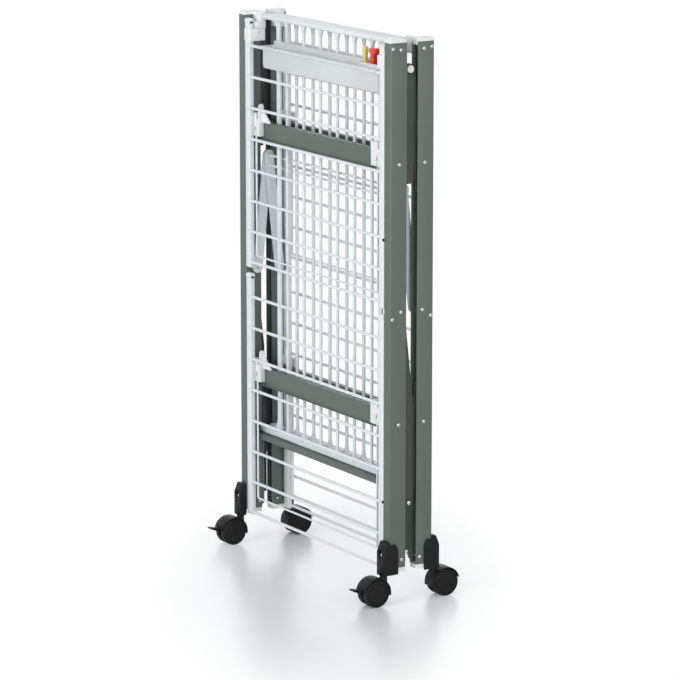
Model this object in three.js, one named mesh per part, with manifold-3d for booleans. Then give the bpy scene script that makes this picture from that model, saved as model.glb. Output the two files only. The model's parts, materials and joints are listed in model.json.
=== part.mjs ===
// Folding trolley with two upright frames, shown closed.
// Millimetres, +Z up, +X to the right, the front looks along -Y.
// The origin is on the floor, in the middle of the closed trolley's footprint.

import * as THREE from 'three';
import { mergeVertices } from 'three/addons/utils/BufferGeometryUtils.js';
import Module from 'manifold-3d';

const wasm = await Module();
wasm.setup();

// Driving dimensions of the frames
const overallWidth = 522; // over the outer faces of the uprights
const postHeight = 946;
const postFoot = 66; // height of the uprights' lower ends above the floor
const postWidth = 21;
const postDepth = 34;
const postWall = 1.8;
const postCorner = 2.4;
const frameGap = 23; // between the front and the back uprights, closed
const seatGap = 0.25; // clearance where two pieces seat
const pinGap = 0.4; // radial clearance round a pin
const overrun = 1; // how far a cutting tool or a joined root runs past a face

// Pins and rivets
const pinRadius = 2.5;
const headRadius = 4.2;
const headHeight = 1.6;
const rivetSides = 8;

// Wings: a flat stile at each side and wires between them
const upperHingeDrop = 10; // hinge lines below the uprights' tops
const lowerHingeShare = 0.5185; // of the uprights' height
const wingSpace = 15.5; // from the upper wing's lower end to the lower hinge line
const wingFootRise = 7.5; // the lower wing's end above the uprights' feet
const wingFirstWires = [45, 56]; // from the hinge line to the first wire
const wingLastWires = [5.6, 6.3]; // from the stile's lower end to the last wire
const wingWireCount = 8;
const stileWidth = 16;
const stileThickness = 9;
const stileInset = 1; // between a stile and its upright
const eyeRadius = 5.6;
const hingeSet = 5; // hinge lines behind the uprights' front faces
const wireRadius = 2.5;
const wireSink = 1; // wire centres behind the stile's front face
const wireSides = 6;

// Crossbars and their catches
const barShares = [0.2267, 0.722]; // middle of each crossbar below the tops, of the uprights' height
const barHeight = 34;
const barDepth = 11;
const barSheet = 1.5;
const barSet = 21.1; // web behind the uprights' front faces
const barLip = 5;
const catchLength = 34;
const catchRise = 22;
const catchFall = 10;
const catchThickness = 10.6;
const catchEar = 3.5;
const catchEarRise = 29;
const catchSlot = 7.5; // between the ear and the lug beside it
const catchLugRise = 11;
const catchGusset = 25;
const catchGussetThickness = 3.5;
const catchGussetRise = 24;

// Props: bent wires that hold the wings up
const propShare = 0.2516; // a prop's length, of the uprights' height
const propRadius = 2;
const propInset = 21; // from an upright's inner face to the prop's leg
const propSet = 12.5; // prop legs behind the uprights' front faces
const propStub = 11;
const propSlotDepth = 4.5; // behind the prop's axis

// Grilles of upright rods
const grillePitchShare = 0.12125; // from rod to rod, of the width between the uprights
const grilleEndShare = 0.0604; // from the last rod to the end bar, of the same width
const grilleRodCount = 6;
const grilleRodRadius = 3.2;
const grilleSet = 35.5; // rod axes behind the uprights' front faces
const grilleRailDepth = 18;
const grilleTopRailHeight = 14;
const grilleTopRise = 3; // top of the rail above the uprights' tops
const grilleBottomRailHeight = 12;
const grilleBottomShare = 0.8404; // underside of the lower rail below the tops
const grilleFlare = 7;
const grilleFlareHeight = 10;
const grilleArch = 22; // from an end bar out to the rail's underside
const grilleEndBar = 11;
const grilleEndBarThickness = 6;
const grilleGripLength = 22;
const grilleGripHeight = 5;
const grilleGripDepth = 6;

// Folding links
const linkPivotSet = 22.9; // link pivots behind the uprights' front faces
const linkRiseShare = 0.2262; // from the uprights' pivots to the middle joint, closed, of their height
const linkWidth = 20;
const linkSheet = 3;
const linkPivotShare = 0.5058;
const channelPivotShares = [0.277, 0.6522]; // the upper links rise to their joint, the lower ones hang
const linkSideGap = 1;
const stayStep = 20; // from the middle joint to the back links' stay

// Ledge frames at the bottom
const ledgePivotSet = 26.1;
const ledgePivotRise = 14; // above the uprights' feet
const ledgeSpace = 1; // between the ledge and the grille above it
const ledgeHeight = 11;
const ledgeDepth = 14;
const ledgeArmWidth = 22;
const ledgeSheet = 2.5;

// Plastic caps on the uprights
const capThickness = 6;
const capSpigot = 6;
const hingeBlockLength = 22;
const hingeBlockInset = 1.2; // in front of the upright's rear edge
const hingeBlockDepths = [13.8, 20.8]; // upper and lower part
const hingeBlockFalls = [12, 23.5]; // their undersides below the upright's top
const trayBracketDrops = [24, 47]; // the tray brackets' top and bottom below the uprights' tops
const trayBracketDepth = 34;
const trayBracketLength = 21;

// Tray and pegs
const trayInsets = [59, 25]; // from the uprights' inner faces, left and right
const trayDepth = 26;
const trayHeight = 39.5;
const trayWall = 1.8;
const trayHook = 4;
const trayCorner = 6;
const trayBackRise = 12; // back rim above the wire
const trayCup = 72; // length of the high pocket for the pegs
const pegHeight = 73;
const pegWidth = 11;
const pegHead = 20;
const pegHeadHeight = 9;
const pegSteps = [63, 34.5]; // from the tray's right end to each peg

// Castors
const wheelRadius = 25;
const wheelWidth = 13;
const wheelGap = 6; // between the two wheels of a castor
const wheelSides = 24;
const axleRadius = 3;
const hoodGap = 1.4; // between the wheels and their hood
const hoodSheet = 2;
const hoodWidth = 30;
const hoodWeb = 5;
const hoodFrontShare = 165 / 180; // of half a turn, from inboard over the top
const hoodRearShare = -12 / 180;
const swivelTrail = 21;
const neckRadius = 7;
const stemRadius = 4;
const stemLength = 26;
const bracketLift = 0.9; // between the hood's top and the bracket
const bracketHeight = 61.5;
const bracketReach = 14.2; // block in front of the upright
const bracketPlate = 2.5;
const bracketPlateDepth = 18;
const bracketInset = 1.5;
const pedalLength = 17;
const pedalWidth = 15;
const pedalThickness = 3;
const pedalRootRadius = 3.6;
const pedalRise = 4.5; // of the tip over the root

// Places worked out from the driving dimensions
const outerX = overallWidth / 2;
const innerX = outerX - postWidth;
const topZ = postFoot + postHeight;
const innerY = -frameGap / 2;
const faceY = innerY - postDepth;
const innerWidth = 2 * innerX;
const hingeY = faceY + hingeSet;
const wingDrops = [upperHingeDrop, lowerHingeShare * postHeight];
const wingLengths = [
  wingDrops[1] - wingSpace - wingDrops[0], postHeight - wingDrops[1] - wingFootRise];
const barDrops = barShares.map((share) => share * postHeight);
const propLength = propShare * postHeight;
const linkPivotDrop = linkPivotShare * postHeight;
const channelPivotDrops = channelPivotShares.map((share) => share * postHeight);
const linkRise = linkRiseShare * postHeight;
const grilleBottomDrop = grilleBottomShare * postHeight;
const ledgePivotDrop = postHeight - ledgePivotRise;
const ledgeArm = ledgePivotDrop - grilleBottomDrop - ledgeSpace;
const trayEnds = [trayInsets[0] - innerX, innerX - trayInsets[1]];
const barY = faceY + barSet;
const grilleY = faceY + grilleSet;
const linkPivotY = faceY + linkPivotSet;
const linkLength = Math.hypot(linkRise, linkPivotY);
const linkLean = Math.atan2(-linkPivotY, linkRise);
const hoodRadius = wheelRadius + hoodGap + hoodSheet;
const hoodTop = wheelRadius + hoodRadius;
const bracketFoot = hoodTop + bracketLift;
const castorX = (innerX + bracketInset + outerX + seatGap + bracketPlate) / 2;
const swivelY = faceY - seatGap - bracketReach / 2;
const axleY = swivelY - swivelTrail;
const hoodFrontY = axleY + hoodRadius * Math.cos(Math.PI * hoodFrontShare);
const pedalRootY = hoodFrontY - pedalRootRadius - pinGap;
const pedalTipY = pedalRootY - pedalLength;
const footprintShift = (Math.min(axleY - wheelRadius, hoodFrontY) - pedalTipY) / 2;

const materials = {
  paint: new THREE.MeshStandardMaterial({ color: 0x66716b, roughness: 0.55, metalness: 0.35 }),
  wire: new THREE.MeshStandardMaterial({ color: 0xe2e6e8, roughness: 0.4, metalness: 0.1 }),
  plastic: new THREE.MeshStandardMaterial({ color: 0xe9eaea, roughness: 0.5, metalness: 0 }),
  frost: new THREE.MeshStandardMaterial({ color: 0xdfe2e4, roughness: 0.6, metalness: 0 }),
  black: new THREE.MeshStandardMaterial({ color: 0x1b1b1c, roughness: 0.6, metalness: 0 }),
  yellow: new THREE.MeshStandardMaterial({ color: 0xd9bb4e, roughness: 0.4, metalness: 0 }),
  red: new THREE.MeshStandardMaterial({ color: 0xc9282b, roughness: 0.4, metalness: 0 }),
};

const axisBases = {
  x: new THREE.Matrix4().makeBasis(
    new THREE.Vector3(0, 1, 0), new THREE.Vector3(0, 0, 1), new THREE.Vector3(1, 0, 0)),
  y: new THREE.Matrix4().makeBasis(
    new THREE.Vector3(1, 0, 0), new THREE.Vector3(0, 0, 1), new THREE.Vector3(0, -1, 0)),
  z: new THREE.Matrix4(),
};

// A closed mesh as a solid that can be joined and cut.
function solidOf(geometry) {
  const bare = geometry.clone();
  for (const name of Object.keys(bare.attributes)) {
    if (name !== 'position') bare.deleteAttribute(name);
  }
  const merged = mergeVertices(bare);
  const mesh = new wasm.Mesh({
    numProp: 3,
    vertProperties: Float32Array.from(merged.attributes.position.array),
    triVerts: Uint32Array.from(merged.index.array),
  });
  return new wasm.Manifold(mesh);
}

function geometryOf(solid) {
  const mesh = solid.getMesh();
  const geometry = new THREE.BufferGeometry();
  geometry.setAttribute('position', new THREE.BufferAttribute(mesh.vertProperties, 3));
  geometry.setIndex(new THREE.BufferAttribute(mesh.triVerts, 1));
  geometry.computeVertexNormals();
  return geometry;
}

const join = (solids) => solids.reduce((whole, piece) => whole.add(piece));
const cut = (solid, tools) => tools.reduce((rest, tool) => rest.subtract(tool), solid);

// Extrudes an outline along an axis. Its points are (y, z) along x, (x, z) along y and (x, y) along z.
function extrude(axis, shape, from, to, arcSteps) {
  const low = Math.min(from, to);
  const high = Math.max(from, to);
  const geometry = new THREE.ExtrudeGeometry(shape, {
    depth: high - low, bevelEnabled: false, steps: 1, curveSegments: arcSteps ?? 4,
  });
  geometry.translate(0, 0, axis === 'y' ? -high : low);
  geometry.applyMatrix4(axisBases[axis]);
  return solidOf(geometry);
}

function polygon(points) {
  return new THREE.Shape(points.map(([u, v]) => new THREE.Vector2(u, v)));
}

function rectangle(u0, v0, u1, v1) {
  return polygon([[u0, v0], [u1, v0], [u1, v1], [u0, v1]]);
}

function roundRectangle(u0, v0, u1, v1, radius) {
  const [left, right] = [Math.min(u0, u1), Math.max(u0, u1)];
  const [low, high] = [Math.min(v0, v1), Math.max(v0, v1)];
  const quarter = Math.PI / 2;
  const shape = new THREE.Shape();
  shape.absarc(right - radius, low + radius, radius, -quarter, 0);
  shape.absarc(right - radius, high - radius, radius, 0, quarter);
  shape.absarc(left + radius, high - radius, radius, quarter, 2 * quarter);
  shape.absarc(left + radius, low + radius, radius, 2 * quarter, 3 * quarter);
  return shape;
}

function circle(u, v, radius, sides) {
  const turn = (2 * Math.PI) / sides;
  return polygon(Array.from({ length: sides }, (_, i) => [
    u + radius * Math.cos(i * turn), v + radius * Math.sin(i * turn)]));
}

// A bar with round ends between two points of its plane.
function capsule(u0, v0, u1, v1, radius, steps) {
  const along = Math.atan2(v1 - v0, u1 - u0);
  const shape = new THREE.Shape();
  const ends = [[u1, v1, along - Math.PI / 2], [u0, v0, along + Math.PI / 2]];
  const points = ends.flatMap(([u, v, start]) => Array.from({ length: steps + 1 }, (_, i) => {
    const angle = start + (Math.PI * i) / steps;
    return new THREE.Vector2(u + radius * Math.cos(angle), v + radius * Math.sin(angle));
  }));
  shape.setFromPoints(points);
  return shape;
}

const box = (x0, y0, z0, x1, y1, z1) => extrude('z', rectangle(x0, y0, x1, y1), z0, z1);
const rod = (axis, u, v, radius, from, to, sides) => (
  extrude(axis, circle(u, v, radius, sides ?? wireSides), from, to));

function add(parent, name, solid, material) {
  const mesh = new THREE.Mesh(geometryOf(solid), material);
  mesh.name = name;
  parent.add(mesh);
  return mesh;
}

// A revolved profile of (radius, height) pairs round an axis along x, heights outwards.
function revolve(profile, side, x, y, z, sides) {
  const geometry = new THREE.LatheGeometry(profile.map(([r, h]) => new THREE.Vector2(r, h)), sides);
  geometry.rotateZ(-side * Math.PI / 2);
  geometry.translate(x, y, z);
  return solidOf(geometry);
}

// The bevelled head of a rivet on an upright's outer face.
function rivetHead(side, y, z) {
  const profile = [[0, -overrun], [headRadius, -overrun], [headRadius, headHeight / 3],
    [headRadius * 0.7, headHeight], [0, headHeight]];
  return revolve(profile, side, side * outerX, y, z, rivetSides);
}

// A pin through an upright: a head outside and a shank inwards to where it ends.
function pin(side, y, z, shankEnd) {
  return join([rivetHead(side, y, z),
    rod('x', y, z, pinRadius, side * shankEnd, side * (outerX - overrun / 2), rivetSides)]);
}

function post(side, linkPinEnd) {
  const shape = new THREE.Shape();
  const quarter = Math.PI / 2;
  const mid = side * (outerX - postWidth / 2);
  const half = postWidth / 2;
  shape.moveTo(mid + half, innerY);
  shape.lineTo(mid + half - postWall, innerY);
  shape.lineTo(mid + half - postWall, faceY + postWall);
  shape.lineTo(mid - half + postWall, faceY + postWall);
  shape.lineTo(mid - half + postWall, innerY);
  shape.lineTo(mid - half, innerY);
  shape.absarc(mid - half + postCorner, faceY + postCorner, postCorner, 2 * quarter, 3 * quarter);
  shape.absarc(mid + half - postCorner, faceY + postCorner, postCorner, 3 * quarter, 4 * quarter);
  const channel = extrude('z', shape, postFoot, topZ, 2);
  const stilePinEnd = innerX - stileInset - stileWidth;
  const pins = [
    ...wingDrops.map((drop) => pin(side, hingeY, topZ - drop, stilePinEnd)),
    ...barDrops.map((drop) => rivetHead(side, barY - pinRadius, topZ - drop)),
    rivetHead(side, barY, topZ - wingDrops[0] - pinRadius),
    pin(side, linkPivotY, topZ - linkPivotDrop, linkPinEnd),
    pin(side, faceY + ledgePivotSet, topZ - ledgePivotDrop, innerX - 2 * ledgeSheet),
    ...channelPivotDrops.map((drop) => rod('x', linkPivotY, topZ - drop, pinRadius,
      side * (innerX + postWall / 2), side * (outerX - postWall / 2), rivetSides)),
  ];
  return join([channel, ...pins]);
}

// The spigot of a cap inside the upright's channel.
function spigot(side, from, to) {
  return box(side * (innerX + postWall + seatGap), faceY + postWall + seatGap, from,
    side * (outerX - postWall - seatGap), innerY - seatGap, to);
}

// Top cap with the block that stiffens the wing's hinge, deeper in its lower part.
function cap(side) {
  const plate = extrude('z', roundRectangle(side * innerX, faceY, side * outerX, innerY, postCorner),
    topZ + seatGap, topZ + capThickness, 2);
  const blockX = innerX - hingeBlockLength;
  const back = innerY - hingeBlockInset;
  const [upper, lower] = hingeBlockDepths.map((depth) => back - depth);
  const [step, foot] = hingeBlockFalls.map((fall) => topZ - fall);
  const top = topZ + capThickness;
  const block = extrude('x', polygon([
    [back, foot], [back, top], [upper, top], [upper, step + postCorner], [upper - postCorner, step],
    [lower + postCorner / 2, step], [lower, step - postCorner / 2], [lower, foot]]),
  side * blockX, side * (innerX - seatGap));
  const bridge = box(side * (blockX + postCorner), upper, topZ + seatGap,
    side * (innerX + postCorner), back, top);
  const inside = spigot(side, topZ - capSpigot, topZ + seatGap + postCorner / 2);
  return join([plate, block, bridge, inside]);
}

// A folded-sheet channel with a lip that stands forward along its lower edge.
function crossbar(middle) {
  const [low, high] = [middle - barHeight / 2, middle + barHeight / 2];
  const back = barY + barDepth;
  const profile = polygon([
    [barY, high], [barY, low + barSheet], [barY - barLip, low + barSheet], [barY - barLip, low],
    [back, low], [back, low + barSheet], [barY + barSheet, low + barSheet],
    [barY + barSheet, high - barSheet], [back, high - barSheet], [back, high]]);
  return extrude('x', profile, -(innerX - seatGap), innerX - seatGap);
}

// Catch at a crossbar's end: holds the bar to the upright and carries a prop's pivot.
function catchPiece(side, middle) {
  const [near, far] = [innerX - seatGap - catchLength, innerX - 4 * seatGap];
  const low = middle - catchFall;
  const top = middle + catchRise;
  const lug = near + catchEar + catchSlot;
  const back = barY - seatGap;
  const front = back - catchThickness;
  const body = extrude('y', polygon([
    [near, low], [far, low], [far, top + catchLugRise], [lug, top + catchLugRise], [lug, top], [near, top],
  ].map(([x, z]) => [side * x, z])), front, back);
  const round = catchThickness / 2;
  const earShape = capsule(back - round, top - round, back - round, top + catchEarRise - round, round, 6);
  const ear = extrude('x', earShape, side * near, side * (near + catchEar));
  const gussetTop = top + catchEarRise - catchThickness;
  const gusset = extrude('y', polygon([
    [near + catchEar / 2, gussetTop], [near, gussetTop],
    [near - catchGusset, gussetTop - catchGussetRise * 0.9],
    [near - catchGusset, gussetTop - catchGussetRise],
    [near + catchEar / 2, gussetTop - catchGussetRise],
  ].map(([x, z]) => [side * x, z])), back - catchGussetThickness, back);
  const legX = innerX - propInset;
  const axisY = faceY + propSet;
  const reach = propRadius + pinGap;
  const slot = box(side * (legX - reach), front - overrun, low - overrun,
    side * (legX + reach), axisY + propSlotDepth, middle + 4.2 * propRadius);
  const bore = rod('x', axisY, middle, reach, side * legX,
    side * (legX + propStub + pinGap), rivetSides);
  return cut(join([body, ear, gusset]), [slot, bore]);
}

function prop(middle) {
  const axisY = faceY + propSet;
  const legX = innerX - propInset;
  const foot = middle - propLength;
  const legs = [-1, 1].flatMap((side) => [
    rod('z', side * legX, axisY, propRadius, foot - propRadius, middle + propRadius),
    rod('x', axisY, middle, propRadius * 0.98, side * (legX - propRadius / 2),
      side * (legX + propStub)),
  ]);
  const cross = rod('x', axisY, foot, propRadius * 0.98, -legX, legX);
  return join([...legs, cross]);
}

// Block round a stile that carries the tray, with fine grooves across its front and a slot inside.
function trayBracket(side) {
  const far = innerX - stileInset + seatGap;
  const near = far - trayBracketLength;
  const front = hingeY - stileThickness / 2 - 2 * wireSink;
  const [high, low] = trayBracketDrops.map((drop) => topZ - drop);
  const tall = high - low;
  const plan = roundRectangle(side * near, front, side * far, front + trayBracketDepth, wireSink * 2);
  const block = extrude('z', plan, low, high, 2);
  const grooves = [1, 2, 3].map((i) => box(side * (near + trayBracketLength * 0.15), front - overrun,
    high - tall * (0.2 + 0.17 * i), side * (far - trayBracketLength * 0.2), front + wireSink / 2,
    high - tall * (0.16 + 0.17 * i)));
  const slotY = front + trayBracketDepth * 0.6;
  const slot = box(side * (near - overrun), slotY, low + tall * 0.5,
    side * (near + 2 * wireSink), slotY + 1.5 * wireSink, low + tall * 0.78);
  return cut(block, [...grooves, slot]);
}

function wing(index, hasBrackets) {
  const hingeZ = topZ - wingDrops[index];
  const foot = hingeZ - wingLengths[index];
  const [far, near] = [innerX - stileInset, innerX - stileInset - stileWidth];
  const [front, back] = [hingeY - stileThickness / 2, hingeY + stileThickness / 2];
  const stiles = [-1, 1].map((side) => {
    const bar = extrude('x', roundRectangle(front, foot, back, hingeZ, stileThickness * 0.45),
      side * near, side * far, 2);
    const eye = rod('x', hingeY, hingeZ, eyeRadius, side * near, side * far, 12);
    const hole = rod('x', hingeY, hingeZ, pinRadius + pinGap,
      side * (near - overrun), side * (far + overrun), rivetSides);
    return cut(join([bar, eye]), [hole]);
  });
  const wireY = front + wireSink;
  const wireEnd = near + stileWidth / 2;
  const firstZ = hingeZ - wingFirstWires[index];
  const pitch = (firstZ - foot - wingLastWires[index]) / (wingWireCount - 1);
  const wires = Array.from({ length: wingWireCount }, (_, i) => rod(
    'x', wireY, firstZ - i * pitch, wireRadius, -wireEnd, wireEnd));
  const brackets = hasBrackets ? [-1, 1].map(trayBracket) : [];
  return join([...stiles, ...wires, ...brackets]);
}

// Grille: upright rods between moulded rails, with flared roots and a finger grip below.
function grille() {
  const [front, back] = [grilleY - grilleRailDepth / 2, grilleY + grilleRailDepth / 2];
  const railTop = topZ + grilleTopRise;
  const railLow = railTop - grilleTopRailHeight;
  const footLow = topZ - grilleBottomDrop;
  const footTop = footLow + grilleBottomRailHeight;
  const end = innerX - 2 * seatGap;
  const topEnd = innerX - hingeBlockLength - 2 * seatGap;
  const pitch = grillePitchShare * innerWidth;
  const span = pitch * (grilleRodCount - 1);
  const rodXs = Array.from({ length: grilleRodCount }, (_, i) => i * pitch - span / 2);
  const endX = span / 2 + grilleEndShare * innerWidth;
  const rails = [
    extrude('x', roundRectangle(front, railLow, back, railTop, grilleRodRadius), -topEnd, topEnd, 3),
    extrude('y', roundRectangle(-end, footLow, end, footTop, grilleBottomRailHeight * 0.45),
      front, back, 4),
  ];
  const rods = rodXs.map((x) => rod('z', x, grilleY, grilleRodRadius,
    footTop - overrun, railLow + overrun));
  const flareAt = (x) => extrude('y', polygon([
    [x - grilleFlare, railLow + overrun], [x - grilleFlare, railLow],
    [x - grilleFlare * 0.6, railLow - grilleFlareHeight * 0.3],
    [x - grilleRodRadius * 0.8, railLow - grilleFlareHeight],
    [x + grilleRodRadius * 0.8, railLow - grilleFlareHeight],
    [x + grilleFlare * 0.6, railLow - grilleFlareHeight * 0.3],
    [x + grilleFlare, railLow], [x + grilleFlare, railLow + overrun]]),
  grilleY - grilleRodRadius * 0.8, grilleY + grilleRodRadius * 0.8);
  const flares = rodXs.map(flareAt);
  const archAt = (side) => {
    const foot = endX + grilleEndBar / 2 - overrun;
    const curve = Array.from({ length: 5 }, (_, i) => {
      const angle = (Math.PI / 2) * (i / 4);
      return [side * (foot + grilleArch * (1 - Math.cos(angle))),
        railLow - grilleArch * 0.6 * (1 - Math.sin(angle))];
    });
    return extrude('y', polygon([...curve, [side * (foot + grilleArch), railLow + overrun],
      [side * foot, railLow + overrun]]), grilleY - grilleEndBarThickness / 2 + seatGap,
    grilleY + grilleEndBarThickness / 2 - seatGap);
  };
  const ends = [-1, 1].map((side) => box(
    side * (endX - grilleEndBar / 2), grilleY - grilleEndBarThickness / 2, footTop - overrun,
    side * (endX + grilleEndBar / 2), grilleY + grilleEndBarThickness / 2, railLow + overrun));
  const grip = extrude('y', roundRectangle(-grilleGripLength / 2, footLow + grilleGripHeight / 2,
    grilleGripLength / 2, footLow + 1.5 * grilleGripHeight, grilleGripHeight * 0.45),
  front - overrun, front + grilleGripDepth, 3);
  return cut(join([...rails, ...rods, ...flares, ...ends, archAt(-1), archAt(1)]), [grip]);
}

// Flat bar with an eye at each end, in the plane of the fold.
function linkBar(pivotY, pivotZ, jointZ, from, to) {
  const bar = extrude('x', capsule(pivotY, pivotZ, 0, jointZ, linkWidth / 2, 6), from, to);
  const low = Math.min(from, to) - overrun;
  const high = Math.max(from, to) + overrun;
  const pivotHole = rod('x', pivotY, pivotZ, pinRadius + pinGap, low, high, rivetSides);
  return cut(bar, [pivotHole]);
}

const jointHole = (z, from, to) => rod('x', 0, z, pinRadius + pinGap, from, to, rivetSides);

// White links of one frame, tied across by a rod. The front pair's rod is the middle joint.
function tiedLinks(isFront, lane) {
  const pivotZ = topZ - linkPivotDrop;
  const jointZ = pivotZ + linkRise;
  const bars = [-1, 1].map((side) => {
    const bar = linkBar(linkPivotY, pivotZ, jointZ, side * lane, side * (lane + linkSheet));
    return isFront ? bar : cut(bar, [
      jointHole(jointZ, side * (lane - overrun), side * (lane + linkSheet + overrun))]);
  });
  const step = isFront ? 0 : stayStep;
  const rodZ = jointZ - step * Math.cos(linkLean);
  const rodY = -step * Math.sin(linkLean);
  const reach = lane + linkSheet / (isFront ? 1 : 2);
  return join([...bars, rod('x', rodY, rodZ, pinRadius, -reach, reach, rivetSides)]);
}

// Dark link inside the upright's channel. The front one carries the middle pin.
function channelLink(side, isFront, index, lane, pinEnd) {
  const pivotZ = topZ - channelPivotDrops[index];
  const jointZ = pivotZ + (index === 0 ? linkRise : -linkRise);
  const bar = linkBar(linkPivotY, pivotZ, jointZ, side * lane, side * (lane + linkSheet));
  if (!isFront) {
    return cut(bar, [jointHole(jointZ, side * (lane - overrun), side * (lane + linkSheet + overrun))]);
  }
  const middlePin = rod('x', 0, jointZ, pinRadius, side * (lane + linkSheet / 2), side * pinEnd, rivetSides);
  return join([bar, middlePin]);
}

// Ledge frame: an angle bar on two arms with rounded feet.
function ledge() {
  const pivotY = faceY + ledgePivotSet;
  const pivotZ = topZ - ledgePivotDrop;
  const top = pivotZ + ledgeArm;
  const near = innerX - 2 * seatGap - ledgeSheet;
  const far = innerX - 2 * seatGap;
  const arms = [-1, 1].map((side) => {
    const arm = extrude('x', capsule(pivotY, pivotZ, pivotY, top - ledgeArmWidth, ledgeArmWidth / 2, 6),
      side * near, side * far);
    const root = box(side * near, pivotY - ledgeDepth / 2, top - 2 * ledgeArmWidth,
      side * far, pivotY + ledgeDepth / 2, top);
    const hole = rod('x', pivotY, pivotZ, pinRadius + pinGap,
      side * (near - overrun), side * (far + overrun), rivetSides);
    return cut(join([arm, root]), [hole]);
  });
  const [front, back] = [pivotY - ledgeDepth / 2, pivotY + ledgeDepth / 2];
  const profile = polygon([
    [front, top], [front, top - ledgeHeight], [front + ledgeSheet, top - ledgeHeight],
    [front + ledgeSheet, top - ledgeSheet], [back, top - ledgeSheet], [back, top]]);
  return join([...arms, extrude('x', profile, -far, far)]);
}

// Trough hooked over the first wire, its back wall higher, with a high pocket at the right end.
function tray() {
  const wireZ = topZ - wingDrops[0] - wingFirstWires[0];
  const wireY = hingeY - stileThickness / 2 + wireSink;
  const front = wireY + wireRadius + seatGap;
  const back = front + trayDepth;
  const rim = wireZ + wireRadius + seatGap + trayWall;
  const high = wireZ + trayBackRise;
  const floor = wireZ + wireRadius - trayHeight;
  const hookFront = wireY - wireRadius - seatGap - trayWall;
  const profile = polygon([
    [front, floor], [back, floor], [back, high], [back - trayWall, high],
    [back - trayWall, floor + trayWall], [front + trayWall, floor + trayWall],
    [front + trayWall, rim], [hookFront, rim],
    [hookFront, rim - trayWall - trayHook], [hookFront + trayWall, rim - trayWall - trayHook],
    [hookFront + trayWall, rim - trayWall], [front, rim - trayWall]]);
  const [left, right] = trayEnds;
  const cupX = right - trayCup;
  const walls = [[left, rim], [cupX, high], [right - trayWall, high]].map(([x, top]) => extrude(
    'x', rectangle(front, floor, back, top), x, x + trayWall));
  const cupFront = box(cupX, front, floor, right, front + trayWall, high);
  const whole = join([extrude('x', profile, left, right), ...walls, cupFront]);
  return whole.intersect(extrude('y', roundRectangle(left, floor, right, high + 2 * trayCorner, trayCorner),
    hookFront - overrun, back + overrun, 3));
}

// Peg standing in the pocket: a waisted body, with or without a cross head.
function peg(step, hasHead) {
  const x = trayEnds[1] - step;
  const wireY = hingeY - stileThickness / 2 + wireSink;
  const middleY = wireY + wireRadius + seatGap + trayDepth / 2;
  const floor = topZ - wingDrops[0] - wingFirstWires[0] + wireRadius - trayHeight + trayWall + seatGap;
  const half = pegWidth / 2;
  const levelShares = [0, 0.62, 0.76, 0.9, 1];
  const halves = hasHead ? [half, half, half, half, half * 0.8]
    : [half * 0.86, half * 0.86, half * 0.55, half * 0.75, half * 0.7];
  const outline = (middle) => polygon([
    ...levelShares.map((share, i) => [middle + halves[i], floor + share * pegHeight]),
    ...levelShares.map((share, i) => [middle - halves[i], floor + share * pegHeight]).reverse()]);
  const body = extrude('y', outline(x), middleY - half, middleY + half).intersect(
    extrude('x', outline(middleY), x - half - overrun, x + half + overrun));
  if (!hasHead) return body;
  const head = extrude('y', roundRectangle(x - pegHead * 0.42, floor + pegHeight - pegHeadHeight,
    x + pegHead * 0.58, floor + pegHeight, pegHeadHeight * 0.3),
  middleY - half - overrun / 2, middleY + half + overrun / 2, 3);
  return join([body, head]);
}

// Corner bracket: a block in front of the upright and a plate on its outer face.
function bracket(side) {
  const blockBack = faceY - seatGap;
  const blockFront = blockBack - bracketReach;
  const near = side * (innerX + bracketInset);
  const far = side * (outerX + seatGap + bracketPlate);
  const top = bracketFoot + bracketHeight;
  const shoulder = bracketHeight * 0.28;
  const block = extrude('x', polygon([
    [blockFront, bracketFoot], [blockBack, bracketFoot], [blockBack, top],
    [blockBack - bracketReach / 2, top], [blockFront, top - shoulder]]), near, far);
  const plate = extrude('x', polygon([
    [blockBack - overrun, bracketFoot], [blockBack + bracketPlateDepth, bracketFoot],
    [blockBack + bracketPlateDepth, top - shoulder],
    [blockBack + bracketPlateDepth * 0.75, top - shoulder / 3],
    [blockBack - overrun, top - shoulder / 3]]), side * (outerX + seatGap), far);
  const bore = rod('z', side * castorX, swivelY, stemRadius + pinGap,
    bracketFoot - overrun, bracketFoot + stemLength + overrun, 8);
  const pocketZ = top - shoulder * 1.1;
  const pocketRadius = bracketReach * 0.36;
  const pocket = extrude('y', capsule(side * castorX, pocketZ - pocketRadius, side * castorX, pocketZ,
    pocketRadius, 6), blockFront - overrun, blockFront + bracketReach * 0.45);
  const screw = rod('y', side * castorX, pocketZ - pocketRadius, pocketRadius * 0.7,
    blockFront + bracketReach * 0.3, blockFront + bracketReach * 0.6, 10);
  return join([cut(join([block, plate]), [bore, pocket]), screw]);
}

// Sector of a ring round the axle. Angle 0 points inboard, a quarter turn is up.
function ringSector(inner, outer, start, end, steps) {
  const at = (radius, angle) => [axleY + radius * Math.cos(angle), wheelRadius + radius * Math.sin(angle)];
  const angles = Array.from({ length: steps + 1 }, (_, i) => start + ((end - start) * i) / steps);
  const inside = inner > 0 ? angles.map((a) => at(inner, a)).reverse() : [[axleY, wheelRadius]];
  return polygon([...angles.map((a) => at(outer, a)), ...inside]);
}

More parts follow.
